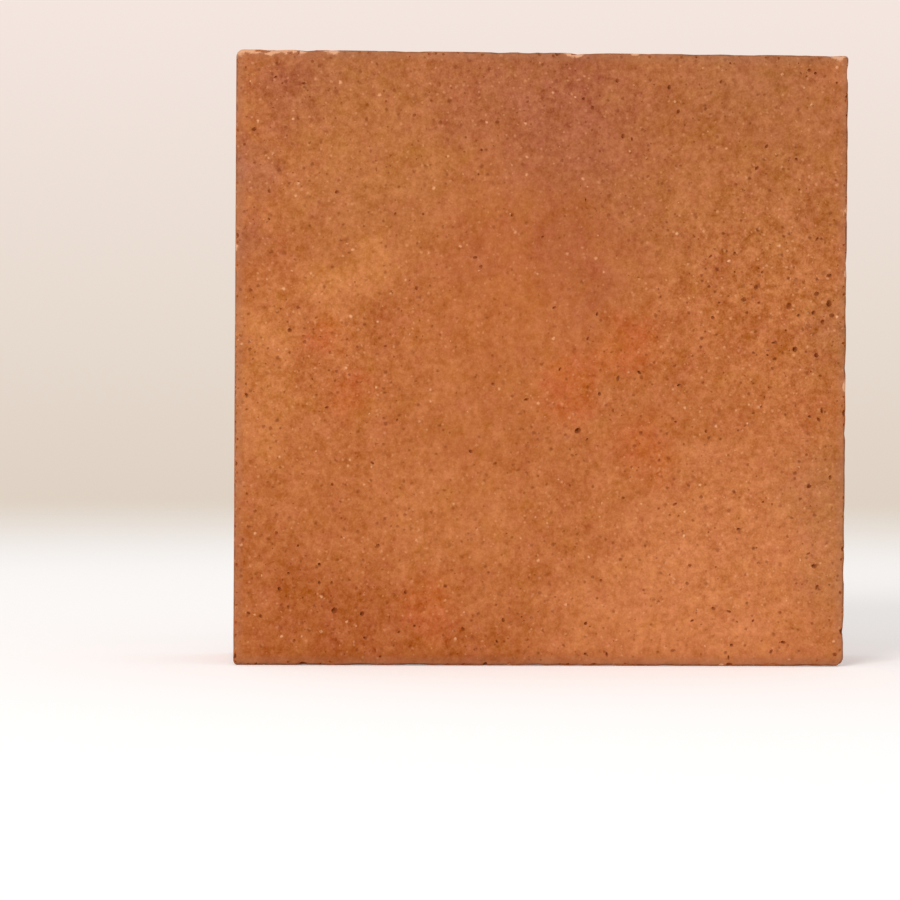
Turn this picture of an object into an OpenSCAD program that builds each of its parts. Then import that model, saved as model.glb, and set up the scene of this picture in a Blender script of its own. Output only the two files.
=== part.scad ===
// Square clay brick: one block of clay, moulded, dried and fired.
// It stands on one of its narrow sides, and its large face looks along -Y.
// The origin is on the surface that it stands on, under the middle of the brick.
// All lengths are in millimetres.

/* [Brick] */
// Side of the square face
brick_side = 200; // [150:1:300]
// Thickness, from one large face to the other
brick_thickness = 53; // [40:1:90]

/* [Edges] */
// Rounding of the short edge at the top left, where two narrow sides meet
top_left_radius = 2.6; // [1.4:0.1:5]
// Rounding of the short edge at the top right
top_right_radius = 1.4; // [1.4:0.1:5]
// Rounding of the short edge at the bottom right
bottom_right_radius = 3.2; // [1.4:0.1:5]
// Rounding of the short edge at the bottom left
bottom_left_radius = 1.6; // [1.4:0.1:5]
// Rounding of the arrises, where a narrow side meets a large face
arris_radius = 0.9; // [0.5:0.1:1.3]

/* [Chips] */
// Radius of the hollow that a chip leaves on an arris
chip_radius = 9; // [5:0.5:15]
// Depth of that hollow below the rounded arris
chip_depth = 0.6; // [0.3:0.05:0.8]

/* [Hidden] */
$fn = 64;

half_side = brick_side / 2;
half_thickness = brick_thickness / 2;

// Roundings of the short edges, clockwise from the top left
corner_radii = [top_left_radius, top_right_radius, bottom_right_radius, bottom_left_radius];

// Chips on the front arris of the top and bottom sides:
// how far along from the middle, top or bottom, the chip's size,
// and how far it turns to the face: 0 goes straight into the narrow side, 1 is halfway
level_chip_shares = [[-0.91, 1, 1, 1], [-0.77, 1, 1.3, 0], [0.11, 1, 0.8, 0], [0.34, 1, 0.7, 1],
                     [0.94, 1, 0.8, 0], [0.07, -1, 0.8, 1], [0.76, -1, 1.2, 1], [0.9, -1, 0.9, 1]];
// Chips on the front arris of the left and right sides:
// left or right, how far up from the middle, the chip's size, and how far it turns to the face
upright_chip_shares = [[1, 0.94, 1.3, 0], [1, 0.26, 0.8, 1], [1, 0.06, 0.7, 1], [-1, 0.72, 0.7, 1]];

// Rectangle with four rounded corners, about its centre
module rounded_rectangle(width, height, radius) {
  square([width - 2 * radius, height], center = true);
  square([width, height - 2 * radius], center = true);
  for (x = [-1, 1], y = [-1, 1])
    translate([x * (width / 2 - radius), y * (height / 2 - radius)])
      circle(radius);
}

// Upper half of the block, between the roundings of its two short edges, with both arrises rounded
module half_block(left_radius, right_radius) {
  translate([left_radius - half_side, 0, 0])
    rotate([90, 0, 90])
      linear_extrude(brick_side - left_radius - right_radius)
        intersection() {
          rounded_rectangle(brick_thickness, brick_side, arris_radius);
          translate([-half_thickness, 0])
            square([brick_thickness, half_side]);
        }
}

// Round post that forms one short edge, its rims rounded like the arrises that run into them
module corner_post(radius) {
  rotate([90, 0, 0])
    rotate_extrude()
      intersection() {
        rounded_rectangle(2 * radius, brick_thickness, arris_radius);
        translate([0, -half_thickness])
          square([radius, brick_thickness]);
      }
}

// Whole block, about its centre, before any chip: each narrow side in turn, with the short edge to its left
module block() {
  for (side = [0:3]) {
    left_radius = corner_radii[side];
    right_radius = corner_radii[(side + 1) % 4];
    rotate([0, 90 * side, 0]) {
      half_block(left_radius, right_radius);
      translate([left_radius - half_side, 0, half_side - left_radius])
        corner_post(left_radius);
    }
  }
}

// Hollow of a chip in an arris whose rounding has its centre at the given point and looks along the given way
module chip(centre, way, size_share) {
  translate(centre + way / norm(way) * (arris_radius + size_share * (chip_radius - chip_depth)))
    sphere(size_share * chip_radius);
}

// Chips on the arrises of the front face
module chips() {
  rounding_y = arris_radius - half_thickness;
  rounding_edge = half_side - arris_radius;
  for (at = level_chip_shares)
    chip([at[0] * half_side, rounding_y, at[1] * rounding_edge], [0, -at[3], at[1]], at[2]);
  for (at = upright_chip_shares)
    chip([at[0] * rounding_edge, rounding_y, at[1] * half_side], [at[0], -at[3], 0], at[2]);
}

module brick() {
  color("#be7147")
    translate([0, 0, half_side])
      difference() {
        block();
        chips();
      }
}

brick();
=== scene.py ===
# Square clay brick: one block of clay, pressed in a mould, dried and fired once, left unglazed.
# It stands on a narrow side. Lengths are in metres; MM turns the millimetres of the brick into them.
import math

import bpy
import numpy as np
from mathutils import Euler, Matrix, Vector


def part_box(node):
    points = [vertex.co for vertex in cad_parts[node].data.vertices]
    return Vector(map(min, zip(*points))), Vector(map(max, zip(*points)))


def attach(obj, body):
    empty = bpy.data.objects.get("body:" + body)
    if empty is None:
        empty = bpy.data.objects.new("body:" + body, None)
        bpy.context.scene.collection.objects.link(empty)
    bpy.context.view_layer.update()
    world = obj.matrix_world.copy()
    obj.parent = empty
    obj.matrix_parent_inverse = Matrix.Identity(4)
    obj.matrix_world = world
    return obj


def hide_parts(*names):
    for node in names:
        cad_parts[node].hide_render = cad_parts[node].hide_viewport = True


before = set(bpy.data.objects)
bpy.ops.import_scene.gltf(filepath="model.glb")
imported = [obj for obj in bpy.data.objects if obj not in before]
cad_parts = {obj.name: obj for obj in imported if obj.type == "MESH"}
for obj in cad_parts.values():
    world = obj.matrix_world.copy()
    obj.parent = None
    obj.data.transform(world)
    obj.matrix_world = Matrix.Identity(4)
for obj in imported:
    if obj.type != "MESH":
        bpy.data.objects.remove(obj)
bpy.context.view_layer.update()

MM = 0.001
BLOCK_LOW, BLOCK_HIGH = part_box("brick")
BLOCK_CENTRE = (BLOCK_LOW + BLOCK_HIGH) / 2
BLOCK_SIZE = BLOCK_HIGH - BLOCK_LOW
HALF = BLOCK_SIZE / 2

# Edges and chips, at the sizes that the part's source gives them
CORNER_RADII = {
    "Top Left Radius": 2.6 * MM,
    "Top Right Radius": 1.4 * MM,
    "Bottom Right Radius": 3.2 * MM,
    "Bottom Left Radius": 1.6 * MM,
}
ARRIS_RADIUS = 0.9 * MM
CHIP_RADIUS = 9 * MM
CHIP_DEPTH = 0.6 * MM
# Chips on the level arrises: share of the way along, top or bottom, size, and how far it turns to the face:
# 0 goes straight into the narrow side, 1 is halfway
LEVEL_CHIP_SHARES = [
    (-0.91, 1, 1, 1), (-0.77, 1, 1.3, 0), (0.11, 1, 0.8, 0), (0.34, 1, 0.7, 1),
    (0.94, 1, 0.8, 0), (0.07, -1, 0.8, 1), (0.76, -1, 1.2, 1), (0.9, -1, 0.9, 1),
]
# Chips on the upright arrises: left or right, share of the way up, size, and how far it turns to the face
UPRIGHT_CHIP_SHARES = [(1, 0.94, 1.3, 0), (1, 0.26, 0.8, 1), (1, 0.06, 0.7, 1), (-1, 0.72, 0.7, 1)]


def add(tree, kind, sockets=None, **settings):
    """Add a node with its settings. A socket takes a value, an output, or a node for its first output."""
    node = tree.nodes.new(kind)
    for name, value in settings.items():
        setattr(node, name, value)
    for key, value in (sockets or {}).items():
        named = [socket for socket in node.inputs if socket.enabled and socket.name == key]
        socket = node.inputs[key] if isinstance(key, int) else named[0]
        if isinstance(value, bpy.types.Node):
            value = next(output for output in value.outputs if output.enabled)
        if isinstance(value, bpy.types.NodeSocket):
            tree.links.new(value, socket)
        else:
            socket.default_value = value
    return node


def linear(colour):
    """The linear colour, with alpha, of an sRGB hex value."""
    shares = [int(colour[i:i + 2], 16) / 255 for i in (1, 3, 5)]
    return (*(c / 12.92 if c <= 0.04045 else ((c + 0.055) / 1.055) ** 2.4 for c in shares), 1.0)


def near_front(tree, place, spot, core, most, **settings):
    """How near a place is to a round spot of the front face: nothing at its rim, the most in its core.

    The spot is given in millimetres: right of the middle, up from the base, and radius.
    The core is a share of that radius.
    """
    right, up, radius = spot
    middle = (right * MM, BLOCK_LOW.y, up * MM)
    reach = add(tree, "ShaderNodeVectorMath", {0: place, 1: middle}, operation="DISTANCE").outputs["Value"]
    return add(tree, "ShaderNodeMapRange", {"Value": reach, "From Min": radius * MM,
                                            "From Max": core * radius * MM, "To Max": most}, **settings)


# Camera: level with the middle of the brick and in line with its left side

CAMERA_PLACE = Vector((-96.4, -1270.4, 100.3)) * MM
CAMERA_TURN = Euler((math.radians(88.6245), 0, math.radians(-3.0675)))
CAMERA_ROLL = math.radians(0.382)
# Millimetres of the film's width and of the lens
CAMERA_FILM = 36
CAMERA_LENS = 153.1

camera = bpy.data.objects.new("camera", bpy.data.cameras.new("camera"))
camera.location = CAMERA_PLACE
camera.rotation_euler = (CAMERA_TURN.to_matrix() @ Matrix.Rotation(CAMERA_ROLL, 3, "Z")).to_euler()
camera.data.sensor_width = CAMERA_FILM
camera.data.lens = CAMERA_LENS
camera.data.clip_start = 10 * MM
bpy.context.scene.collection.objects.link(camera)
bpy.context.scene.camera = camera


# Fired clay

CLAY = "#b86b3a"
SIDE_CLAY = "#b86a3e"
TONES = {
    # dusk: partly kiln colour, partly painted shade on the upper front
    "dusk_and_painted_shade": "#a5643c",
    "mauve": "#a9664a",
    "rose": "#a85f3f",
    "wine": "#aa5c36",
    "tan": "#b9723f",
    "gold": "#c87d45",
    "ember": "#bc6a38",
    "flush": "#be5f2e",
    # bright: partly kiln colour, partly painted light low on the right of the front
    "bright_and_painted_light": "#ca7c4a",
    "straw": "#ae6f42",
    "umber": "#aa5b2c",
}
# Patches of kiln colour on the front face, in which the dusk tone on the upper part also paints shade
# and the bright tone low on the right also paints light: millimetres right of the middle and up from the
# base, radius, tone and strength
PATCHES = [
    (-50, 166, 62, "dusk_and_painted_shade", 0.4),
    (32, 166, 62, "dusk_and_painted_shade", 0.45),
    (92, 164, 44, "dusk_and_painted_shade", 0.45),
    (-70, 204, 44, "dusk_and_painted_shade", 0.6),
    (0, 206, 48, "dusk_and_painted_shade", 0.7),
    (70, 204, 48, "dusk_and_painted_shade", 0.7),
    (-53, 162, 44, "tan", 0.7),
    (72, 150, 46, "tan", 0.4),
    (-10, 128, 50, "ember", 0.4),
    (6, 178, 40, "rose", 0.75),
    (-28, 186, 24, "rose", 0.4),
    (-84, 188, 20, "rose", 0.6),
    (3, 140, 22, "wine", 0.6),
    (16, 126, 26, "wine", 0.5),
    (-24, 134, 18, "wine", 0.4),
    (-98, 160, 16, "mauve", 0.6),
    (-98, 138, 12, "mauve", 0.4),
    (-56, 130, 15, "gold", 0.8),
    (-68, 125, 15, "gold", 0.8),
    (-90, 108, 16, "gold", 0.7),
    (-89, 90, 15, "gold", 0.7),
    (-90, 74, 15, "gold", 0.6),
    (-30, 46, 34, "gold", 0.3),
    (52, 42, 46, "bright_and_painted_light", 0.7),
    (84, 48, 40, "bright_and_painted_light", 0.6),
    (28, 18, 34, "bright_and_painted_light", 0.7),
    (66, 12, 46, "bright_and_painted_light", 0.9),
    (98, 58, 28, "straw", 0.6),
    (100, 30, 22, "straw", 0.5),
    (100, 110, 24, "straw", 0.5),
    (-92, 20, 40, "umber", 0.5),
    (-62, 6, 40, "umber", 0.8),
    (-26, 0, 26, "umber", 0.7),
    (30, 105, 16, "flush", 0.6),
    (15, 99, 13, "flush", 0.45),
    (9, 88, 15, "flush", 0.55),
    (34, 72, 16, "flush", 0.5),
    (-71, 106, 11, "flush", 0.5),
    (-62, 87, 11, "flush", 0.5),
    (-36, 18, 16, "flush", 0.5),
]
# Share of its radius inside which a patch or a drift is at its full strength
SPOT_CORE = 0.15
# Ragged outline of the patches and drifts: size of the rags, and how far they stray in all
RAG_SIZE = 14 * MM
RAG_STRAY = 26 * MM
# Kiln colour of the other sides: millimetres over which it drifts, the noise at which a tone begins
# and is full, and the tone
SIDE_DRIFTS = [
    (52, 0.47, 0.68, "rose"),
    (46, 0.5, 0.7, "gold"),
    (38, 0.52, 0.78, "flush"),
    (60, 0.5, 0.74, "umber"),
]
# Depth behind the front face at which the colour is all that of the other sides
FRONT_DEPTH = 12 * MM

# Lightest and darkest grains of the sand, an equal step either side of the clay
PALE_SAND = "#e09362"
DARK_SAND = "#904312"
# Sizes of the sand in millimetres, drawn coarse enough to show, detail and weight, the finest last
SAND = [(24, 1.0, 0.15), (7, 1.0, 0.28), (3.4, 1.0, 0.3), (1.5, 2.0, 0.78)]
# Height of the finest sand in millimetres
SAND_RELIEF = 0.12
# Where sand and fine pores of the front lie closer or thinner: millimetres right, up and radius,
# and the shares more or less of sand and of pores
DRIFTS = [
    (80, 118, 60, 0.5, 0.25),
    (-76, 102, 40, 0.25, 0.0),
    (62, 40, 50, 0.3, -0.3),
    (-2, 136, 50, -0.3, -0.6),
    (-20, 78, 40, -0.15, -0.5),
    (-82, 178, 34, 0.1, 0.4),
    (-72, 18, 44, 0.0, 0.4),
]
# Ends of the mottle in the clay, alike in lightness, and its sizes in millimetres with their weights
ROSY_CLAY = "#bd6a4c"
BROWN_CLAY = "#b37128"
MOTTLE = [(9, 0.4), (3.2, 0.3)]
# Specks in the clay: millimetres of the cell that holds one and of the largest one's radius, colour and
# strength, and the millimetres that the strongest ones stand out of the skin
SPECKS = [
    (2.2, 0.85, "#6a2400", 0.5, -0.3),
    (2.3, 0.75, "#f0ac7c", 0.85, 0.15),
    (4.2, 1.1, "#642000", 0.46, -0.3),
    (4.4, 0.8, "#f0ac7c", 0.75, 0.2),
]
# Smallest speck as a share of the largest, share of a speck that is at full strength,
# and how far its outline strays
LEAST_SPECK = 0.4
SPECK_CORE = 0.3
SPECK_STRAY = 1.0 * MM

# Painted shade at the foot of the brick, where it stands on the floor
FOOT_PAINTED_SHADE = "#8a441c"
FOOT_SHADE_HEIGHT = 6 * MM
FOOT_SHADE_STRENGTH = 0.4
# Crumbs along the edges, and the middle of a noise's range, from which their differences are drawn
CRUMB_SIZE = 2.4 * MM
NOISE_MIDDLE = {"From Min": 0.35, "From Max": 0.65}
# Dust on the rims, and the share of it and of the painted edge shade that is left on the edges behind the
# front
RIM_DUST = "#aa7456"
SHARE_BEHIND = 0.25
# Painted shade along the edges: length over which it changes, its least and most strength,
# weight of the crumbs that break it, and the sums of rim and crumbs from none of it to all
EDGE_PAINTED_SHADE = "#683a20"
EDGE_SHADE_LENGTH = 6 * MM
EDGE_SHADE_STRENGTH = (0.05, 0.7)
EDGE_SHADE_CRUMBS = 0.6
EDGE_SHADE_SPAN = {"From Min": 1.04, "From Max": 1.32}
# Pale clay on the edges, partly rubbed wear and partly a painted highlight: its strength, weight of the rim
# beside the crumbs, and the sums from none to all
WORN_CLAY_AND_HIGHLIGHT = "#e9ae86"
WORN_AND_HIGHLIGHT_STRENGTH = 0.85
WORN_AND_HIGHLIGHT_RIM = 0.76
WORN_AND_HIGHLIGHT_SPAN = {"From Min": 1.24, "From Max": 1.5}
# Pale clay in the chips, partly fresh clay and partly a painted highlight: its least and most strength,
# and the depths from none of it to all
CHIP_CLAY_AND_HIGHLIGHT = "#e2a678"
CHIPPED_STRENGTH = (0.25, 0.9)
CHIPPED_SPAN = {"From Min": 0.1 * MM, "From Max": 0.3 * MM}
# Stretches of the front arrises that are palest, rubbed and with a painted highlight where they catch the
# light:
# millimetres right, up, and radius, share of the radius that is the core, and what they add to the sum
WORN_AND_HIGHLIT_SPOTS = [
    (-97, 200, 5), (-91, 200, 6), (-85, 200, 6), (-79, 199, 5), (-69, 199, 3), (10, 199, 4), (30, 200, 2),
    (96, 198, 4), (100, 148, 4), (100, 129, 3), (100, 92, 3), (-100, 137, 3), (60, 0, 2), (-10, 0, 2),
]
WORN_AND_HIGHLIT_CORE = 0.3
WORN_AND_HIGHLIT_SHARE = 0.4
# Painted shade in nicks and pores, darker with depth: millimetres of depth at which it begins and is full,
# colour and strength
HOLLOW_PAINTED_SHADE = [(0.0, 0.3, "#8c4010", 0.6), (0.2, 0.8, "#682b00", 0.7)]


def strayed(tree, place, noise, stray):
    """The place, moved by the noise: up to half the stray each way."""
    away = add(tree, "ShaderNodeVectorMath", {0: noise.outputs["Color"], 1: (0.5, 0.5, 0.5)},
               operation="SUBTRACT")
    return add(tree, "ShaderNodeVectorMath", {0: away, 1: (stray,) * 3, 2: place}, operation="MULTIPLY_ADD")


def coated(tree, colour, coats):
    """The colour under coats that are laid on in turn, each a strength and a tone."""
    for strength, tone in coats:
        colour = add(tree, "ShaderNodeMix", {"Factor": strength, "A": colour, "B": linear(tone)},
                     data_type="RGBA")
    return colour


def colour_step(pale, dark):
    """The step from a dark colour to a pale one."""
    return Vector(linear(pale)[:3]) - Vector(linear(dark)[:3])


def kiln_coats(tree, place, ragged, behind):
    """Kiln colour: rosier clay and a slow drift behind the front face, and the patches of the front, which
    also paint shade on its upper part and light low on its right.
    """
    coats = [(behind, SIDE_CLAY)]
    for size, least, most, tone in SIDE_DRIFTS:
        drift = add(tree, "ShaderNodeTexNoise", {"Vector": place, "Scale": 1 / (size * MM), "Detail": 3.0})
        inside = add(tree, "ShaderNodeMapRange",
                     {"Value": drift, "From Min": least, "From Max": most, "To Max": behind},
                     interpolation_type="SMOOTHSTEP")
        coats.append((inside, TONES[tone]))
    for right, up, radius, tone, strength in PATCHES:
        inside = near_front(tree, ragged, (right, up, radius), SPOT_CORE, strength,
                            interpolation_type="SMOOTHSTEP")
        coats.append((inside, TONES[tone]))
    return coats


def sanded(tree, place, closeness, colour):
    """The colour with sand, each grain paler or darker by the same step whatever the kiln colour.

    Gives the noise of the finest sand too.
    """
    sand = 0.0
    for size, detail, weight in SAND:
        grain = add(tree, "ShaderNodeTexNoise",
                    {"Vector": place, "Scale": 1 / (size * MM), "Detail": detail, "Roughness": 0.8})
        shade = add(tree, "ShaderNodeMapRange",
                    {"Value": grain, "To Min": -weight / 2, "To Max": weight / 2}, clamp=False)
        sand = add(tree, "ShaderNodeMath", {0: shade, 1: sand}, operation="ADD")
    sand = add(tree, "ShaderNodeMath", {0: sand, 1: closeness}, operation="MULTIPLY")
    colour = add(tree, "ShaderNodeVectorMath", {0: sand, 1: colour_step(PALE_SAND, DARK_SAND), 2: colour},
                 operation="MULTIPLY_ADD")
    return colour, grain


def mottled(tree, place, colour):
    """The colour, rosier and browner by turns, as light as before."""
    for size, weight in MOTTLE:
        mottle = add(tree, "ShaderNodeTexNoise", {"Vector": place, "Scale": 1 / (size * MM), "Detail": 2.0})
        shade = add(tree, "ShaderNodeMapRange",
                    {"Value": mottle, "To Min": -weight / 2, "To Max": weight / 2}, clamp=False)
        colour = add(tree, "ShaderNodeVectorMath",
                     {0: shade, 1: colour_step(ROSY_CLAY, BROWN_CLAY), 2: colour}, operation="MULTIPLY_ADD")
    return colour


def speck_coats(tree, place, closeness, grain):
    """Specks, one to a cell of a cut-up block: size and strength differ, and the sand breaks the outline.

    Gives the height of the skin in millimetres too, with the sand and the specks.
    """
    broken = strayed(tree, place, grain, SPECK_STRAY)
    height = add(tree, "ShaderNodeMath", {0: grain, 1: SAND_RELIEF}, operation="MULTIPLY")
    coats = []
    for cell, radius, tone, strength, relief in SPECKS:
        specks = add(tree, "ShaderNodeTexVoronoi", {"Vector": broken, "Scale": 1 / (cell * MM)})
        picked = add(tree, "ShaderNodeSeparateColor", {"Color": specks.outputs["Color"]}).outputs
        reach = add(tree, "ShaderNodeMapRange",
                    {"Value": picked["Red"], "To Min": LEAST_SPECK * radius / cell, "To Max": radius / cell})
        share = add(tree, "ShaderNodeMath", {0: specks.outputs["Distance"], 1: reach}, operation="DIVIDE")
        most = add(tree, "ShaderNodeMath", {0: picked["Green"], 1: picked["Green"]}, operation="MULTIPLY")
        most = add(tree, "ShaderNodeMath", {0: most, 1: strength}, operation="MULTIPLY")
        most = add(tree, "ShaderNodeMath", {0: most, 1: closeness}, operation="MULTIPLY", use_clamp=True)
        speck = add(tree, "ShaderNodeMapRange",
                    {"Value": share, "From Min": 1.0, "From Max": SPECK_CORE, "To Max": most},
                    interpolation_type="SMOOTHSTEP")
        coats.append((speck, tone))
        height = add(tree, "ShaderNodeMath", {0: speck, 1: relief, 2: height}, operation="MULTIPLY_ADD")
    return coats, height


def edge_coats(tree, place, behind, wander, crumb):
    """Edges: a dusty rim, a line of painted shade of uneven width, and stretches of pale clay, partly rubbed
    wear and partly a painted highlight.
    """
    rim = add(tree, "ShaderNodeAttribute", attribute_name="rim").outputs["Fac"]
    front_weight = add(tree, "ShaderNodeMapRange", {"Value": behind, "To Min": 1.0, "To Max": SHARE_BEHIND})
    dusty = add(tree, "ShaderNodeMath", {0: rim, 1: wander}, operation="MULTIPLY")
    dusty = add(tree, "ShaderNodeMath", {0: dusty, 1: front_weight}, operation="MULTIPLY")

    # Painted shade along the edges, strongest on the front and broken by crumbs
    least_edge_shade, most_edge_shade = EDGE_SHADE_STRENGTH
    most = add(tree, "ShaderNodeMath", {0: front_weight, 1: most_edge_shade}, operation="MULTIPLY")
    patchy = add(tree, "ShaderNodeTexNoise", {"Vector": place, "Scale": 1 / EDGE_SHADE_LENGTH, "Detail": 2.0})
    patchy = add(tree, "ShaderNodeMapRange",
                 {"Value": patchy, **NOISE_MIDDLE, "To Min": least_edge_shade, "To Max": most})
    edge = add(tree, "ShaderNodeMath", {0: crumb["Red"], 1: EDGE_SHADE_CRUMBS, 2: rim}, operation="MULTIPLY_ADD")
    edge_shade = add(tree, "ShaderNodeMapRange", {"Value": edge, **EDGE_SHADE_SPAN, "To Max": patchy},
                interpolation_type="SMOOTHSTEP")

    # Pale clay on the edges: partly rubbed wear, partly a painted highlight where the arrises catch the
    # light
    wear_and_highlight_sum = add(tree, "ShaderNodeMath", {0: rim, 1: WORN_AND_HIGHLIGHT_RIM, 2: crumb["Green"]}, operation="MULTIPLY_ADD")
    for spot in WORN_AND_HIGHLIT_SPOTS:
        near = near_front(tree, place, spot, WORN_AND_HIGHLIT_CORE, WORN_AND_HIGHLIT_SHARE)
        wear_and_highlight_sum = add(tree, "ShaderNodeMath", {0: wear_and_highlight_sum, 1: near}, operation="ADD")
    worn_and_highlit = add(tree, "ShaderNodeMapRange", {"Value": wear_and_highlight_sum, **WORN_AND_HIGHLIGHT_SPAN, "To Max": WORN_AND_HIGHLIGHT_STRENGTH},
               interpolation_type="SMOOTHSTEP")
    return [(dusty, RIM_DUST), (edge_shade, EDGE_PAINTED_SHADE), (worn_and_highlit, WORN_CLAY_AND_HIGHLIGHT)]


def hollow_coats(tree, crumb):
    """Chips show pale fresh clay with a painted highlight between crumbs, and pores and nicks get painted
    shade inside, darker with depth.
    """
    least_pale, most_pale = CHIPPED_STRENGTH
    mixed = add(tree, "ShaderNodeMapRange",
                {"Value": crumb["Blue"], **NOISE_MIDDLE, "To Min": least_pale, "To Max": most_pale})
    # Pale fresh clay in the chips, with a painted highlight on it
    chip = add(tree, "ShaderNodeAttribute", attribute_name="chip_depth").outputs["Fac"]
    fresh_and_highlit = add(tree, "ShaderNodeMapRange", {"Value": chip, **CHIPPED_SPAN, "To Max": mixed})
    coats = [(fresh_and_highlit, CHIP_CLAY_AND_HIGHLIGHT)]
    pore = add(tree, "ShaderNodeAttribute", attribute_name="pore_depth").outputs["Fac"]
    # Painted shade inside pores and nicks, darker with depth
    for least, most, tone, strength in HOLLOW_PAINTED_SHADE:
        dark = add(tree, "ShaderNodeMapRange",
                   {"Value": pore, "From Min": least * MM, "From Max": most * MM, "To Max": strength})
        coats.append((dark, tone))
    return coats


def fired_clay():
    """Fired clay, pressed and unglazed: a matt, dusty skin of clay with sand in it.

    The eye gets no gloss, an orange that drifts to rose and gold where the kiln was cooler or hotter,
    a salt-and-pepper grain of sand, pale grits, and burned-out pores. Painted shade darkens the pores, nicks
    and edges, and painted highlights brighten chips and rubbed edges.
    """
    material = bpy.data.materials.new("fired_clay_unglazed")
    material.use_nodes = True
    tree = material.node_tree
    tree.nodes.clear()
    place = add(tree, "ShaderNodeTexCoord").outputs["Object"]
    axes = add(tree, "ShaderNodeSeparateXYZ", {0: place}).outputs
    behind = add(tree, "ShaderNodeMapRange",
                 {"Value": axes["Y"], "From Min": BLOCK_LOW.y, "From Max": BLOCK_LOW.y + FRONT_DEPTH},
                 interpolation_type="SMOOTHSTEP")
    wander = add(tree, "ShaderNodeTexNoise",
                 {"Vector": place, "Scale": 1 / RAG_SIZE, "Detail": 4.0, "Roughness": 0.65})
    ragged = strayed(tree, place, wander, RAG_STRAY)
    closeness = 1.0
    for right, up, radius, share, _ in DRIFTS:
        inside = near_front(tree, ragged, (right, up, radius), SPOT_CORE, share,
                            interpolation_type="SMOOTHSTEP")
        closeness = add(tree, "ShaderNodeMath", {0: inside, 1: closeness}, operation="ADD")

    colour = coated(tree, linear(CLAY), kiln_coats(tree, place, ragged, behind))
    colour, grain = sanded(tree, place, closeness, colour)
    colour = mottled(tree, place, colour)
    coats, height = speck_coats(tree, place, closeness, grain)
    # Painted shade at the foot, where the brick stands on the floor
    foot = add(tree, "ShaderNodeMapRange",
               {"Value": axes["Z"], "From Min": FOOT_SHADE_HEIGHT, "From Max": 0.0, "To Max": FOOT_SHADE_STRENGTH},
               interpolation_type="SMOOTHSTEP")
    coats.append((foot, FOOT_PAINTED_SHADE))
    crumbs = add(tree, "ShaderNodeTexNoise",
                 {"Vector": place, "Scale": 1 / CRUMB_SIZE, "Detail": 3.0, "Roughness": 0.7})
    crumb = add(tree, "ShaderNodeSeparateColor", {"Color": crumbs.outputs["Color"]}).outputs
    coats += edge_coats(tree, place, behind, wander, crumb)
    coats += hollow_coats(tree, crumb)
    colour = coated(tree, colour, coats)

    bump = add(tree, "ShaderNodeBump", {"Height": height, "Strength": 1.0, "Distance": MM})
    surface = add(tree, "ShaderNodeBsdfPrincipled", {"Base Color": colour, "Roughness": 0.9, "IOR": 1.5,
                                                     "Specular IOR Level": 0.1, "Normal": bump})
    add(tree, "ShaderNodeOutputMaterial", {"Surface": surface})
    return material


# Geometry of the block

# Cells along a side away from its edges, and the closer rows along each edge with the width that they take
CELLS = 90
RIM_ROWS = 8
RIM = 3.6 * MM
# Lengths over which the drying wave, the wear of the arrises and the scuffs of the narrow sides change,
# the noise from none of them to all, and how far the scuffs reach in from the arris
WAVE_LENGTH = 55 * MM
WEAR_LENGTH = 8 * MM
WEAR_SPAN = {"From Min": 0.35, "From Max": 0.75}
SCUFF_LENGTH = 9 * MM
SCUFF_SPAN = {"From Min": 0.48, "From Max": 0.78}
SCUFF_REACH = 10 * MM
# Lengths over which pores and nicks lie closer or thinner, the noise from the thinnest to the closest,
# and the share of the pores that is left on the narrow sides
CROWD_LENGTH = 30 * MM
CROWD_SPAN = {"From Min": 0.35, "From Max": 0.7}
CRUMBLE_LENGTH = 22 * MM
CRUMBLE_SPAN = {"From Min": 0.38, "From Max": 0.62, "To Min": 0.1}
SIDE_PORE_SHARE = 0.3
# Depth below the box within which a point counts as on a large face
SKIN = 1 * MM
# Mark of an edge above which a face belongs to its strip
EDGE_MARK = 0.6
# Dented balls that are cut out of the block: a near-round one for chips, a coarse one and a plain one.
# Subdivisions, dents to a radius, and the shares of the radius from the deepest dent to the highest bulge
LUMPS = [(4, 3.5, 0.96, 1.02), (2, 1.9, 0.3, 1.55), (1, 1.3, 0.45, 1.45)]
# Least and most shares of their radius that nicks and pores take: two ways along the skin, then into it,
# and for the large pores across, into the face and up
BITE_SHARES = {"Min": (0.55, 0.55, 0.5), "Max": (1.25, 1.25, 0.8)}
LARGE_PORE_SHARES = {"Min": (0.5, 0.5, 0.5), "Max": (1.2, 0.75, 1.2)}
# Bend between two faces above which the edge between them stays sharp
SHARP_BEND = math.radians(38)
# Seed of all that lies at random
SEED = 7

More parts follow.
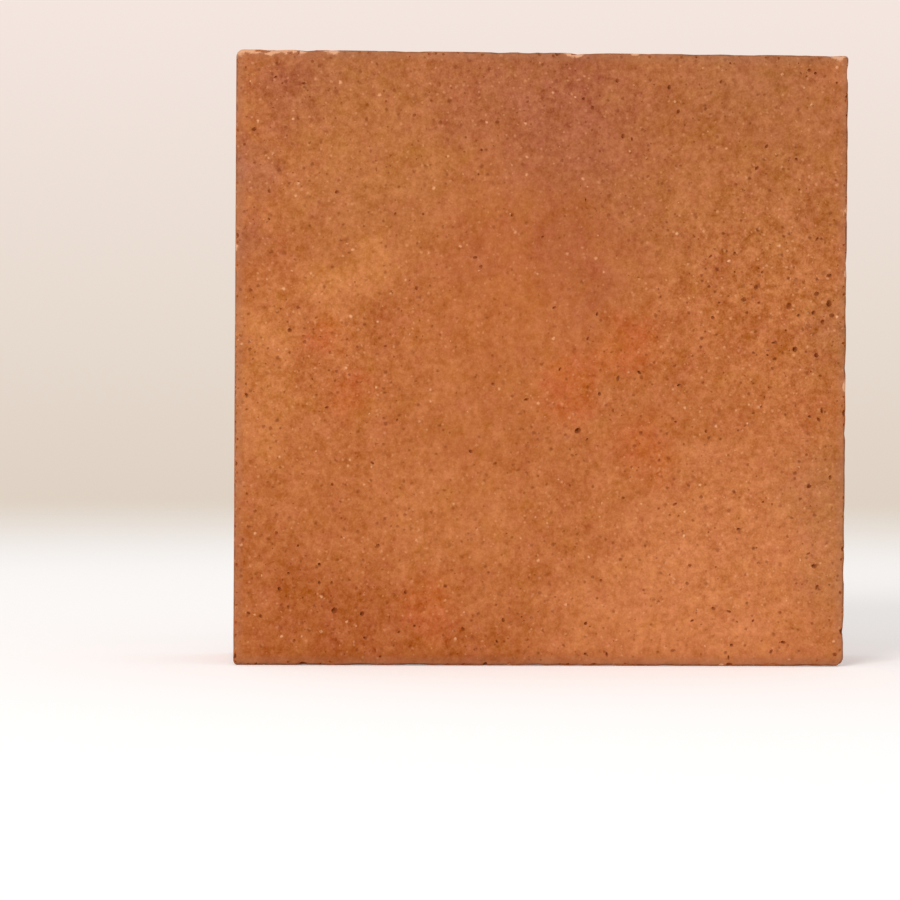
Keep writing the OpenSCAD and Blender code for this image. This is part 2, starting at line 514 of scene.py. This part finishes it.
# Large pores of the front face: millimetres right of the middle and up from the base, and width
PORES = [
    (-87, 191, 1.3), (-78, 189, 1.5), (-94, 174, 1.8), (-97, 169, 1.3), (-89, 154, 1.3), (-89, 145, 1.3),
    (-42, 179, 1.3), (-67, 154, 1.3), (-48, 147, 1.3), (-39, 147, 1.3), (13, 185, 1.6), (16, 182, 1.5),
    (24, 191, 1.4), (-15, 177, 1.4), (26, 173, 1.5), (29, 172, 1.3), (-20, 168, 1.4), (-21, 160, 1.3),
    (14, 152, 1.3), (-10, 147, 1.3), (0, 140, 1.3), (61, 197, 1.3), (58, 191, 1.3), (41, 189, 1.7),
    (44, 181, 1.6), (53, 182, 1.3), (73, 170, 1.6), (83, 166, 1.5), (70, 163, 1.5), (87, 195, 1.3),
    (89, 194, 1.4), (86, 193, 1.0), (96, 191, 1.3), (84, 156, 1.3), (90, 140, 1.6), (55, 134, 1.5),
    (63, 135, 1.6), (63, 129, 1.3), (72, 129, 1.3), (70, 124, 1.8), (94, 128, 1.9), (90, 122, 1.9),
    (94, 119, 2.3), (66, 120, 1.8), (71, 119, 1.3), (58, 119, 1.3), (81, 118, 2.1), (84, 115, 1.6),
    (89, 116, 1.8), (92, 113, 1.9), (95, 115, 1.8), (99, 122, 1.5), (80, 110, 1.5), (76, 106, 1.3),
    (83, 104, 2.2), (90, 102, 2.2), (74, 102, 1.3), (56, 114, 1.8), (99, 106, 1.8), (92, 84, 1.9),
    (88, 82, 1.6), (91, 81, 1.4), (54, 77, 1.3), (44, 80, 1.3), (45, 92, 1.5), (72, 85, 1.3),
    (-22, 133, 1.5), (-20, 130, 1.3), (4, 117, 1.3), (18, 115, 1.5), (15, 107, 1.4), (6, 97, 1.4),
    (25, 94, 1.8), (32, 96, 1.8), (19, 89, 1.5), (-5, 87, 1.6), (-16, 92, 1.4), (12, 77, 2.2),
    (15, 74, 1.4), (-23, 70, 1.5), (-41, 123, 1.3), (-82, 109, 1.5), (-51, 104, 1.4), (-70, 84, 1.5),
    (-47, 80, 1.4), (-96, 88, 1.6), (-55, 66, 1.6), (-68, 59, 1.4), (-86, 43, 1.4), (-79, 39, 1.5),
    (-53, 39, 1.5), (-82, 30, 1.6), (-72, 33, 1.8), (-85, 25, 1.9), (-72, 27, 1.5), (-68, 27, 1.4),
    (-82, 19, 1.5), (-95, 17, 1.6), (-91, 16, 1.4), (-67, 18, 2.0), (-58, 17, 2.1), (-44, 24, 1.3),
    (-41, 13, 1.6), (-46, 11, 1.3), (-80, 8, 1.3), (-57, 9, 1.5), (-52, 3, 1.3), (-15, 66, 1.3),
    (27, 55, 1.3), (20, 28, 1.4), (-31, 26, 1.4), (-12, 15, 1.4), (-6, 16, 1.3), (-25, 12, 1.6),
    (15, 14, 1.8), (-14, 8, 1.5), (15, 4, 1.4), (22, 4, 1.6), (44, 53, 1.5), (73, 54, 1.4),
    (95, 62, 1.9), (88, 59, 1.8), (65, 45, 1.4), (49, 33, 1.3), (90, 33, 1.8), (88, 37, 1.4),
    (57, 19, 1.4), (62, 18, 1.6), (70, 15, 1.4), (50, 15, 1.5), (80, 8, 1.8), (63, 7, 1.5),
    (62, 3, 1.5), (91, 26, 1.8), (76, 5, 1.4), (97, 4, 1.5),
]
# Radius of the lump that cuts a large pore, as a share of the pore's width
PORE_CUTTER_SHARE = 0.54


def edged_grid(tree):
    """Grid on a plain box, with its outermost rows drawn close together for the rounded edges.

    Gives the box, and each point's place, its side of the middle and its distance from the edges.
    """
    rim_rows = Vector((RIM_ROWS,) * 3)
    inner_rows = Vector([round(CELLS * h / HALF.x / 2) for h in HALF])
    rows = inner_rows + rim_rows
    inner_step = Vector([(h - RIM) / count for h, count in zip(HALF, inner_rows)])
    counts = {f"Vertices {axis}": 2 * int(count) + 1 for axis, count in zip("XYZ", rows)}
    box = add(tree, "GeometryNodeMeshCube", {"Size": BLOCK_SIZE, **counts})
    place = add(tree, "GeometryNodeInputPosition")
    size = add(tree, "ShaderNodeVectorMath", {0: place}, operation="ABSOLUTE")
    share = add(tree, "ShaderNodeVectorMath", {0: size, 1: HALF}, operation="DIVIDE")
    row = add(tree, "ShaderNodeVectorMath", {0: (1, 1, 1), 1: share}, operation="SUBTRACT")
    row = add(tree, "ShaderNodeVectorMath", {0: row, 1: rows}, operation="MULTIPLY")
    rim_row = add(tree, "ShaderNodeVectorMath", {0: row, 1: rim_rows}, operation="MINIMUM")
    inner_row = add(tree, "ShaderNodeVectorMath", {0: row, 1: rim_row}, operation="SUBTRACT")
    from_edge = add(tree, "ShaderNodeVectorMath", {0: rim_row, "Scale": RIM / RIM_ROWS}, operation="SCALE")
    from_edge = add(tree, "ShaderNodeVectorMath", {0: inner_row, 1: inner_step, 2: from_edge},
                    operation="MULTIPLY_ADD")
    size = add(tree, "ShaderNodeVectorMath", {0: HALF, 1: from_edge}, operation="SUBTRACT")
    sign = add(tree, "ShaderNodeVectorMath", {0: place}, operation="SIGN")
    place = add(tree, "ShaderNodeVectorMath", {0: size, 1: sign}, operation="MULTIPLY")
    return box, place, sign, from_edge


def pressed_block(tree, given):
    """The block as it left the mould and the kiln, before chips and pores, with its edges marked."""
    box, place, sign, from_edge = edged_grid(tree)

    # Short edges: each corner of the square outline is drawn in to a quarter circle of its own radius
    sides = add(tree, "ShaderNodeSeparateXYZ", {0: sign}).outputs
    right = add(tree, "ShaderNodeMath", {0: sides["X"], 1: 0.0}, operation="GREATER_THAN")
    upper = add(tree, "ShaderNodeMath", {0: sides["Z"], 1: 0.0}, operation="GREATER_THAN")
    lower_radius, upper_radius = (
        add(tree, "GeometryNodeSwitch", {"Switch": right, "False": given[f"{end} Left Radius"],
                                         "True": given[f"{end} Right Radius"]}, input_type="FLOAT")
        for end in ("Bottom", "Top")
    )
    corner = add(tree, "GeometryNodeSwitch", {"Switch": upper, "False": lower_radius, "True": upper_radius},
                 input_type="FLOAT")
    flat = add(tree, "ShaderNodeVectorMath", {0: place, 1: (1, 0, 1)}, operation="MULTIPLY")
    inner = add(tree, "ShaderNodeVectorMath", {0: HALF, 1: corner}, operation="SUBTRACT")
    low = add(tree, "ShaderNodeVectorMath", {0: inner, "Scale": -1.0}, operation="SCALE")
    core = add(tree, "ShaderNodeVectorMath", {0: flat, 1: inner}, operation="MINIMUM")
    core = add(tree, "ShaderNodeVectorMath", {0: core, 1: low}, operation="MAXIMUM")
    reach = add(tree, "ShaderNodeVectorMath", {0: flat, 1: core}, operation="SUBTRACT")
    reach_size = add(tree, "ShaderNodeVectorMath", {0: reach}, operation="ABSOLUTE")
    reach_size = add(tree, "ShaderNodeSeparateXYZ", {0: reach_size}).outputs
    outward = add(tree, "ShaderNodeMath", {0: reach_size["X"], 1: reach_size["Z"]}, operation="MAXIMUM")
    side_way = add(tree, "ShaderNodeVectorMath", {0: reach}, operation="NORMALIZE")
    rounded = add(tree, "ShaderNodeVectorMath", {0: side_way, "Scale": outward}, operation="SCALE")
    rounded = add(tree, "ShaderNodeVectorMath", {0: core, 1: rounded}, operation="ADD")
    along_y = add(tree, "ShaderNodeVectorMath", {0: place, 1: (0, 1, 0)}, operation="MULTIPLY")
    rounded = add(tree, "ShaderNodeVectorMath", {0: rounded, 1: along_y}, operation="ADD")

    # Arrises: a way runs from the rounding's centre to the sharp edge, and the clay ends one radius along it
    spare = add(tree, "ShaderNodeMath", {0: corner, 1: given["Arris Radius"]}, operation="SUBTRACT")
    side_part = add(tree, "ShaderNodeMath", {0: outward, 1: spare}, operation="SUBTRACT")
    side_part = add(tree, "ShaderNodeMath", {0: side_part, 1: 0.0}, operation="MAXIMUM")
    y_size = add(tree, "ShaderNodeVectorMath", {0: along_y}, operation="LENGTH").outputs["Value"]
    flat_end = add(tree, "ShaderNodeMath", {0: HALF.y, 1: given["Arris Radius"]}, operation="SUBTRACT")
    face_part = add(tree, "ShaderNodeMath", {0: y_size, 1: flat_end}, operation="SUBTRACT")
    face_part = add(tree, "ShaderNodeMath", {0: face_part, 1: 0.0}, operation="MAXIMUM")
    face_way = add(tree, "ShaderNodeVectorMath", {0: along_y}, operation="NORMALIZE")
    to_side = add(tree, "ShaderNodeVectorMath", {0: side_way, "Scale": side_part}, operation="SCALE")
    to_face = add(tree, "ShaderNodeVectorMath", {0: face_way, "Scale": face_part}, operation="SCALE")
    to_edge = add(tree, "ShaderNodeVectorMath", {0: to_side, 1: to_face}, operation="ADD")
    way = add(tree, "ShaderNodeVectorMath", {0: to_edge}, operation="NORMALIZE")
    centre = add(tree, "ShaderNodeVectorMath", {0: rounded, 1: to_edge}, operation="SUBTRACT")
    on_arris = add(tree, "ShaderNodeMath", {0: side_part, 1: face_part}, operation="MINIMUM")
    on_arris = add(tree, "ShaderNodeMath", {0: on_arris, 1: given["Arris Radius"]}, operation="DIVIDE")

    # Loss of clay: a slow wave from drying, wear on the arrises, and scuffs beside them on the narrow sides
    gaps = add(tree, "ShaderNodeSeparateXYZ", {0: from_edge}).outputs
    wave = add(tree, "ShaderNodeTexNoise", {"Vector": place, "Scale": 1 / WAVE_LENGTH, "Detail": 4.0})
    wave = add(tree, "ShaderNodeMath", {0: wave, 1: given["Waviness"]}, operation="MULTIPLY")
    wear = add(tree, "ShaderNodeTexNoise",
               {"Vector": place, "Scale": 1 / WEAR_LENGTH, "Detail": 3.0, "Roughness": 0.6})
    wear = add(tree, "ShaderNodeMapRange", {"Value": wear, **WEAR_SPAN, "To Max": given["Arris Wear"]})
    wear = add(tree, "ShaderNodeMath", {0: wear, 1: on_arris}, operation="MULTIPLY")
    loss = add(tree, "ShaderNodeMath", {0: wave, 1: wear}, operation="ADD")
    scuff = add(tree, "ShaderNodeTexNoise",
                {"Vector": place, "Scale": 1 / SCUFF_LENGTH, "Detail": 4.0, "Roughness": 0.65})
    scuff = add(tree, "ShaderNodeMapRange", {"Value": scuff, **SCUFF_SPAN, "To Max": given["Rim Wear"]})
    near = add(tree, "ShaderNodeMapRange", {"Value": gaps["Y"], "From Min": SCUFF_REACH, "From Max": 0.0},
               interpolation_type="SMOOTHSTEP")
    on_side = add(tree, "ShaderNodeMath", {0: side_part, 1: given["Arris Radius"]}, operation="DIVIDE")
    near = add(tree, "ShaderNodeMath", {0: near, 1: on_side}, operation="MULTIPLY")
    loss = add(tree, "ShaderNodeMath", {0: scuff, 1: near, 2: loss}, operation="MULTIPLY_ADD")
    radius = add(tree, "ShaderNodeMath", {0: given["Arris Radius"], 1: loss}, operation="SUBTRACT")
    skin = add(tree, "ShaderNodeVectorMath", {0: way, "Scale": radius}, operation="SCALE")
    skin = add(tree, "ShaderNodeVectorMath", {0: centre, 1: skin}, operation="ADD")
    skin = add(tree, "ShaderNodeVectorMath", {0: skin, 1: BLOCK_CENTRE}, operation="ADD")

    # Marks of the edges: arris on the rounding, and rim from any edge to where the close rows end
    least = add(tree, "ShaderNodeMath", {0: gaps["X"], 1: gaps["Z"]}, operation="MINIMUM")
    most = add(tree, "ShaderNodeMath", {0: gaps["X"], 1: gaps["Z"]}, operation="MAXIMUM")
    gap = add(tree, "ShaderNodeMath", {0: least, 1: gaps["Y"]}, operation="MAXIMUM")
    gap = add(tree, "ShaderNodeMath", {0: gap, 1: most}, operation="MINIMUM")
    on_rim = add(tree, "ShaderNodeMapRange", {"Value": gap, "From Min": RIM, "From Max": 0.0})
    block = box
    for name, share in (("arris", on_arris), ("rim", on_rim)):
        block = add(tree, "GeometryNodeStoreNamedAttribute",
                    {"Geometry": block, "Name": name, "Value": share})
    return add(tree, "GeometryNodeSetPosition", {"Geometry": block, "Position": skin})


def cutting_lumps(tree):
    """The lumps that are cut out of the block, of radius 1."""
    lumps = []
    for subdivisions, dents, least, most in LUMPS:
        lump = add(tree, "GeometryNodeMeshIcoSphere", {"Radius": 1.0, "Subdivisions": subdivisions})
        dent = add(tree, "ShaderNodeTexNoise", {"Scale": dents, "Detail": 1.0})
        dent = add(tree, "ShaderNodeMapRange", {"Value": dent, "To Min": least, "To Max": most})
        place = add(tree, "GeometryNodeInputPosition")
        place = add(tree, "ShaderNodeVectorMath", {0: place, "Scale": dent}, operation="SCALE")
        lumps.append(add(tree, "GeometryNodeSetPosition", {"Geometry": lump, "Position": place}))
    return lumps


def carved(tree, clay, cutters):
    """The clay without what the cutters take out of it."""
    cutters = add(tree, "GeometryNodeRealizeInstances", {"Geometry": cutters})
    return add(tree, "GeometryNodeMeshBoolean", {"Mesh 1": clay, "Mesh 2": cutters},
               operation="DIFFERENCE", solver="MANIFOLD")


def bitten(tree, given, block, clay, lump, plain_lump):
    """The clay with nicks along its arrises and pores all over, at random."""
    spot = add(tree, "GeometryNodeInputPosition")
    spot_y = add(tree, "ShaderNodeSeparateXYZ", {0: spot}).outputs["Y"]
    off_front = add(tree, "ShaderNodeMath", {0: spot_y, 1: BLOCK_LOW.y + SKIN}, operation="GREATER_THAN")
    off_middle = add(tree, "ShaderNodeMath", {0: spot_y, 1: BLOCK_CENTRE.y}, operation="SUBTRACT")
    off_middle = add(tree, "ShaderNodeMath", {0: off_middle}, operation="ABSOLUTE")
    on_large = add(tree, "ShaderNodeMath", {0: off_middle, 1: HALF.y - SKIN}, operation="GREATER_THAN")
    on_large = add(tree, "ShaderNodeMapRange", {"Value": on_large, "To Min": SIDE_PORE_SHARE})
    crowd = add(tree, "ShaderNodeTexNoise", {"Vector": spot, "Scale": 1 / CROWD_LENGTH, "Detail": 2.0})
    crowd = add(tree, "ShaderNodeMapRange", {"Value": crowd, **CROWD_SPAN})
    crowd = add(tree, "ShaderNodeMath", {0: crowd, 1: on_large}, operation="MULTIPLY")
    crowd_behind = add(tree, "ShaderNodeMath", {0: crowd, 1: off_front}, operation="MULTIPLY")
    for right, up, radius, _, share in DRIFTS:
        inside = near_front(tree, spot, (right, up, radius), SPOT_CORE, share)
        crowd = add(tree, "ShaderNodeMath", {0: inside, 1: crowd}, operation="ADD")
    crumbly = add(tree, "ShaderNodeTexNoise", {"Vector": spot, "Scale": 1 / CRUMBLE_LENGTH, "Detail": 2.0})
    crumbly = add(tree, "ShaderNodeMapRange", {"Value": crumbly, **CRUMBLE_SPAN})

    # Nicks are spread on strips of the block, because on all of it their spacing would thin them out first
    strips = {}
    for name in ("arris", "rim"):
        share = add(tree, "GeometryNodeInputNamedAttribute", {"Name": name}, data_type="FLOAT")
        on_edge = add(tree, "ShaderNodeMath", {0: share, 1: EDGE_MARK}, operation="GREATER_THAN")
        strips[name] = add(tree, "GeometryNodeSeparateGeometry", {"Geometry": block, "Selection": on_edge},
                           domain="FACE")

    # On which faces, least spacing, number for each square metre, how crowded, shape,
    # and how far out of the clay the lump stands
    bites = {
        "Nick Radius": (strips["arris"], 22 * MM, 120000, crumbly, lump, 0.15),
        "Fine Nick Radius": (strips["rim"], 2.2 * MM, 220000, crumbly, plain_lump, 0.05),
        "Pore Radius": (block, 4.6 * MM, 14000, crowd_behind, lump, 0.1),
        "Fine Pore Radius": (block, 2.4 * MM, 32000, crowd, plain_lump, 0.1),
    }
    for step, (name, (faces, spacing, density, crowding, shape, proud)) in enumerate(bites.items()):
        seed = add(tree, "ShaderNodeMath", {0: given["Seed"], 1: float(step)}, operation="ADD")
        spots = add(tree, "GeometryNodeDistributePointsOnFaces",
                    {"Mesh": faces, "Distance Min": spacing, "Density Max": density,
                     "Density Factor": crowding, "Seed": seed}, distribute_method="POISSON")
        lift = add(tree, "ShaderNodeMath", {0: given[name], 1: proud}, operation="MULTIPLY")
        lift = add(tree, "ShaderNodeVectorMath", {0: spots.outputs["Normal"], "Scale": lift},
                   operation="SCALE")
        lifted = add(tree, "GeometryNodeSetPosition", {"Geometry": spots, "Offset": lift})
        pick = add(tree, "FunctionNodeRandomValue", {**BITE_SHARES, "Seed": seed}, data_type="FLOAT_VECTOR")
        scale = add(tree, "ShaderNodeVectorMath", {0: pick, "Scale": given[name]}, operation="SCALE")
        spin = add(tree, "FunctionNodeRandomValue", {"Max": (0, 0, 2 * math.pi), "Seed": seed},
                   data_type="FLOAT_VECTOR")
        turn = add(tree, "FunctionNodeRotateRotation",
                   {"Rotation": spots.outputs["Rotation"], "Rotate By": spin}, rotation_space="LOCAL")
        bite = add(tree, "GeometryNodeInstanceOnPoints",
                   {"Points": lifted, "Instance": shape, "Rotation": turn, "Scale": scale})
        clay = carved(tree, clay, bite)
    return clay


def brick_tree():
    """Geometry Nodes that press the block, wear its arrises, and cut its chips and pores."""
    tree = bpy.data.node_groups.new("fired_brick", "GeometryNodeTree")
    sizes = {
        **CORNER_RADII,
        "Arris Radius": ARRIS_RADIUS,
        "Arris Wear": 0.4 * MM,
        "Rim Wear": 0.7 * MM,
        "Waviness": 0.25 * MM,
        "Nick Radius": 1.5 * MM,
        "Fine Nick Radius": 0.7 * MM,
        "Pore Radius": 0.8 * MM,
        "Fine Pore Radius": 0.46 * MM,
    }
    tree.interface.new_socket("Cutters", in_out="INPUT", socket_type="NodeSocketGeometry")
    for name, value in sizes.items():
        socket = tree.interface.new_socket(name, in_out="INPUT", socket_type="NodeSocketFloat")
        socket.default_value = value
    tree.interface.new_socket("Clay", in_out="INPUT", socket_type="NodeSocketMaterial")
    tree.interface.new_socket("Seed", in_out="INPUT", socket_type="NodeSocketInt")
    tree.interface.new_socket("Brick", in_out="OUTPUT", socket_type="NodeSocketGeometry")
    given = add(tree, "NodeGroupInput").outputs
    block = pressed_block(tree, given)
    ball, lump, plain_lump = cutting_lumps(tree)

    # Chips where they are given, and how deep each point lies in one, then nicks and pores at random
    given_radius = add(tree, "GeometryNodeInputNamedAttribute", {"Name": "cutter_radius"}, data_type="FLOAT")
    is_chip = add(tree, "GeometryNodeInputNamedAttribute", {"Name": "is_chip"}, data_type="BOOLEAN")
    places = add(tree, "GeometryNodeMeshToPoints", {"Mesh": given["Cutters"]})
    chips = add(tree, "GeometryNodeInstanceOnPoints",
                {"Points": places, "Selection": is_chip, "Instance": ball, "Scale": given_radius})
    skin = add(tree, "GeometryNodeProximity", {0: block}, target_element="FACES").outputs
    chipped = add(tree, "GeometryNodeStoreNamedAttribute",
                  {"Geometry": carved(tree, block, chips), "Name": "chip_depth", "Value": skin["Distance"]})
    brick = bitten(tree, given, block, chipped, lump, plain_lump)

    # Large pores of the front, each on the skin behind its given place
    is_pore = add(tree, "FunctionNodeBooleanMath", {0: is_chip}, operation="NOT")
    places = add(tree, "GeometryNodeSetPosition",
                 {"Geometry": places, "Selection": is_pore, "Position": skin["Position"]})
    turn = add(tree, "FunctionNodeRandomValue", {"Max": (0, 2 * math.pi, 0), "Seed": given["Seed"]},
               data_type="FLOAT_VECTOR")
    pick = add(tree, "FunctionNodeRandomValue", {**LARGE_PORE_SHARES, "Seed": given["Seed"]},
               data_type="FLOAT_VECTOR")
    scale = add(tree, "ShaderNodeVectorMath", {0: pick, "Scale": given_radius}, operation="SCALE")
    pores = add(tree, "GeometryNodeInstanceOnPoints",
                {"Points": places, "Selection": is_pore, "Instance": lump, "Rotation": turn, "Scale": scale})
    brick = carved(tree, brick, pores)

    # How deep each point lies in a nick or pore, and edges that stay sharp at their rims
    depth = add(tree, "GeometryNodeProximity", {0: chipped}, target_element="FACES").outputs["Distance"]
    brick = add(tree, "GeometryNodeStoreNamedAttribute",
                {"Geometry": brick, "Name": "pore_depth", "Value": depth})
    brick = add(tree, "GeometryNodeSetShadeSmooth", {"Geometry": brick})
    bend = add(tree, "GeometryNodeInputMeshEdgeAngle").outputs["Unsigned Angle"]
    sharp = add(tree, "ShaderNodeMath", {0: bend, 1: SHARP_BEND}, operation="GREATER_THAN")
    brick = add(tree, "GeometryNodeSetShadeSmooth",
                {"Geometry": brick, "Selection": sharp, "Shade Smooth": False}, domain="EDGE")
    brick = add(tree, "GeometryNodeRealizeInstances", {"Geometry": brick})
    brick = add(tree, "GeometryNodeSetMaterial", {"Geometry": brick, "Material": given["Clay"]})
    add(tree, "NodeGroupOutput", {"Brick": brick})
    return tree


def chip_cutters():
    """Centre and radius of the ball that cuts each chip."""
    rounding_y = ARRIS_RADIUS - HALF.y
    rounding_edge = HALF.x - ARRIS_RADIUS
    chips = []
    for along, end, size, turn in LEVEL_CHIP_SHARES:
        centre = Vector((along * HALF.x, rounding_y, end * rounding_edge))
        chips.append((centre, Vector((0, -turn, end)), size))
    for side, along, size, turn in UPRIGHT_CHIP_SHARES:
        centre = Vector((side * rounding_edge, rounding_y, along * HALF.z))
        chips.append((centre, Vector((side, -turn, 0)), size))
    return [
        (BLOCK_CENTRE + centre + way.normalized() * (ARRIS_RADIUS + size * (CHIP_RADIUS - CHIP_DEPTH)),
         size * CHIP_RADIUS)
        for centre, way, size in chips
    ]


def make_brick():
    """The finished brick as a plain mesh at the origin."""
    chips = chip_cutters()
    pores = [
        (Vector((right * MM, BLOCK_LOW.y, up * MM)), PORE_CUTTER_SHARE * width * MM)
        for right, up, width in PORES
    ]
    centres, radii = zip(*chips, *pores)
    are_chips = [True] * len(chips) + [False] * len(pores)
    mesh = bpy.data.meshes.new("cutters")
    mesh.from_pydata(centres, [], [])
    for name, kind, values in (("cutter_radius", "FLOAT", radii), ("is_chip", "BOOLEAN", are_chips)):
        mesh.attributes.new(name, kind, "POINT").data.foreach_set("value", values)
    maker = bpy.data.objects.new("brick_maker", mesh)
    bpy.context.scene.collection.objects.link(maker)
    tree = brick_tree()
    modifier = maker.modifiers.new("fired_brick", "NODES")
    modifier.node_group = tree
    inputs = {item.name: item.identifier for item in tree.interface.items_tree if item.in_out == "INPUT"}
    modifier[inputs["Clay"]] = fired_clay()
    modifier[inputs["Seed"]] = SEED
    graph = bpy.context.evaluated_depsgraph_get()
    made = bpy.data.meshes.new_from_object(maker.evaluated_get(graph), preserve_all_data_layers=True,
                                           depsgraph=graph)
    bpy.data.objects.remove(maker)
    while made.materials[0] is None:
        made.materials.pop(index=0)
    brick = bpy.data.objects.new("brick_fired", made)
    bpy.context.scene.collection.objects.link(brick)
    return brick


def lay_out_faces(mesh):
    """Unfold the six sides on one sheet: two square faces side by side, and four narrow sides above them."""
    gap = 2 * MM
    width, thickness, height = BLOCK_SIZE
    wide = width + gap
    first_row = height + gap
    second_row = first_row + thickness + gap
    sheet = np.array((2 * wide, second_row + thickness + gap))
    # Outward way, rightward way, upward way and place on the sheet
    sides = [
        ((0, -1, 0), (1, 0, 0), (0, 0, 1), (0, 0)),
        ((0, 1, 0), (-1, 0, 0), (0, 0, 1), (wide, 0)),
        ((-1, 0, 0), (0, 0, 1), (0, 1, 0), (0, first_row)),
        ((1, 0, 0), (0, 0, -1), (0, 1, 0), (wide, first_row)),
        ((0, 0, -1), (1, 0, 0), (0, -1, 0), (0, second_row)),
        ((0, 0, 1), (1, 0, 0), (0, 1, 0), (wide, second_row)),
    ]
    outward, rightward, upward, corner = (np.array(column, float) for column in zip(*sides))
    half = np.array(HALF)
    places = np.empty((len(mesh.vertices), 3), np.float32)
    mesh.vertices.foreach_get("co", places.ravel())
    places = places - np.array(BLOCK_CENTRE)
    centres = np.empty((len(mesh.polygons), 3), np.float32)
    mesh.polygons.foreach_get("center", centres.ravel())
    normals = np.empty_like(centres)
    mesh.polygons.foreach_get("normal", normals.ravel())
    counts = np.empty(len(mesh.polygons), np.int32)
    mesh.polygons.foreach_get("loop_total", counts)
    corners = np.empty(len(mesh.loops), np.int32)
    mesh.loops.foreach_get("vertex_index", corners)

    # A face goes to the side that it looks along most, and a pore's walls go with the side that it is in,
    # because one wall's depth below a side counts as much as a quarter turn away from it
    pore_wall = 1.5 * MM
    depth = np.abs(outward) @ half - (centres - np.array(BLOCK_CENTRE)) @ outward.T
    side = np.argmax(normals @ outward.T - depth / pore_wall, axis=1)
    side = np.repeat(side, counts)
    at = places[corners]
    from_left = np.einsum("ij,ij->i", at, rightward[side]) + np.abs(rightward[side]) @ half
    from_foot = np.einsum("ij,ij->i", at, upward[side]) + np.abs(upward[side]) @ half
    spread = (np.stack((from_left, from_foot), 1) + corner[side] + gap / 2) / sheet
    mesh.uv_layers.new(name="OFBake").data.foreach_set("uv", spread.astype(np.float32).ravel())


brick = make_brick()
lay_out_faces(brick.data)
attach(brick, "root")
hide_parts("brick")


# Stage: a white floor that fades into a pale surround, and soft light, in metres

FLOOR_RADIUS = 1.6
FLOOR_SIDES = 96
FLOOR_FADE = (0.45, 1.5)
FLOOR_WHITE = "#f6f2ef"
FLOOR_GLOW = 0.26
# The surround as it is seen: the foot of the wall, the wall higher up, and the rise of sight between them
WALL_FOOT = "#ddd0c1"
WALL = "#f4e6df"
WALL_RISE = (-0.05, 0.09)
# The surround as it lights the brick
SOFT_LIGHT = "#fefdfd"
SOFT_STRENGTH = 0.6
LAMP_PLACE = (-1.5, -2.6, 1.5)
LAMP_SIZE = 1.3
LAMP_POWER = 58
LAMP_COLOUR = "#fcfdff"


def seen_rays(tree):
    """1 for rays that show a thing to the eye, and 0 for those that light another."""
    rays = add(tree, "ShaderNodeLightPath").outputs
    seen = add(tree, "ShaderNodeMath", {0: rays["Is Camera Ray"], 1: rays["Is Glossy Ray"]}, operation="ADD")
    return add(tree, "ShaderNodeMath", {0: seen, 1: rays["Is Transmission Ray"]}, operation="ADD")


def make_floor():
    """A round white floor that keeps the shadow, glows a little to the eye and fades out at its rim."""
    mesh = bpy.data.meshes.new("floor")
    turns = [2 * math.pi * step / FLOOR_SIDES for step in range(FLOOR_SIDES)]
    rim = [(FLOOR_RADIUS * math.cos(turn), FLOOR_RADIUS * math.sin(turn), 0) for turn in turns]
    mesh.from_pydata(rim, [], [range(FLOOR_SIDES)])
    floor = bpy.data.objects.new("floor", mesh)
    bpy.context.scene.collection.objects.link(floor)
    material = bpy.data.materials.new("white_table")
    material.use_nodes = True
    tree = material.node_tree
    tree.nodes.clear()
    glow = add(tree, "ShaderNodeMath", {0: seen_rays(tree), 1: FLOOR_GLOW}, operation="MULTIPLY")
    plain = add(tree, "ShaderNodeBsdfDiffuse", {"Color": linear(FLOOR_WHITE)})
    white = add(tree, "ShaderNodeEmission", {"Color": linear("#ffffff"), "Strength": glow})
    both = add(tree, "ShaderNodeAddShader", {0: plain, 1: white})
    place = add(tree, "ShaderNodeTexCoord").outputs["Object"]
    reach = add(tree, "ShaderNodeVectorMath", {0: place}, operation="LENGTH").outputs["Value"]
    fade = add(tree, "ShaderNodeMapRange",
               {"Value": reach, "From Min": FLOOR_FADE[0], "From Max": FLOOR_FADE[1]},
               interpolation_type="SMOOTHSTEP")
    clear = add(tree, "ShaderNodeBsdfTransparent")
    both = add(tree, "ShaderNodeMixShader", {0: fade, 1: both, 2: clear})
    add(tree, "ShaderNodeOutputMaterial", {"Surface": both})
    mesh.materials.append(material)


def make_surround():
    """A pale wall to the eye, and soft light from all round."""
    world = bpy.data.worlds.new("pale_surround")
    bpy.context.scene.world = world
    world.use_nodes = True
    tree = world.node_tree
    tree.nodes.clear()
    way = add(tree, "ShaderNodeTexCoord").outputs["Generated"]
    up = add(tree, "ShaderNodeSeparateXYZ", {0: way}).outputs["Z"]
    share = add(tree, "ShaderNodeMapRange",
                {"Value": up, "From Min": WALL_RISE[0], "From Max": WALL_RISE[1]})
    wall = add(tree, "ShaderNodeMix", {"Factor": share, "A": linear(WALL_FOOT), "B": linear(WALL)},
               data_type="RGBA")
    wall = add(tree, "ShaderNodeBackground", {"Color": wall, "Strength": 1.0})
    soft = add(tree, "ShaderNodeBackground", {"Color": linear(SOFT_LIGHT), "Strength": SOFT_STRENGTH})
    both = add(tree, "ShaderNodeMixShader", {0: seen_rays(tree), 1: soft, 2: wall})
    add(tree, "ShaderNodeOutputWorld", {"Surface": both})


def make_lamp():
    """One broad, soft lamp in front, to the left and above."""
    lamp = bpy.data.lights.new("key", "AREA")
    lamp.size = LAMP_SIZE
    lamp.energy = LAMP_POWER
    lamp.color = linear(LAMP_COLOUR)[:3]
    light = bpy.data.objects.new("key", lamp)
    light.location = LAMP_PLACE
    light.rotation_euler = (BLOCK_CENTRE - light.location).to_track_quat("-Z", "Y").to_euler()
    bpy.context.scene.collection.objects.link(light)


make_floor()
make_surround()
make_lamp()
bpy.context.scene.view_settings.view_transform = "Standard"
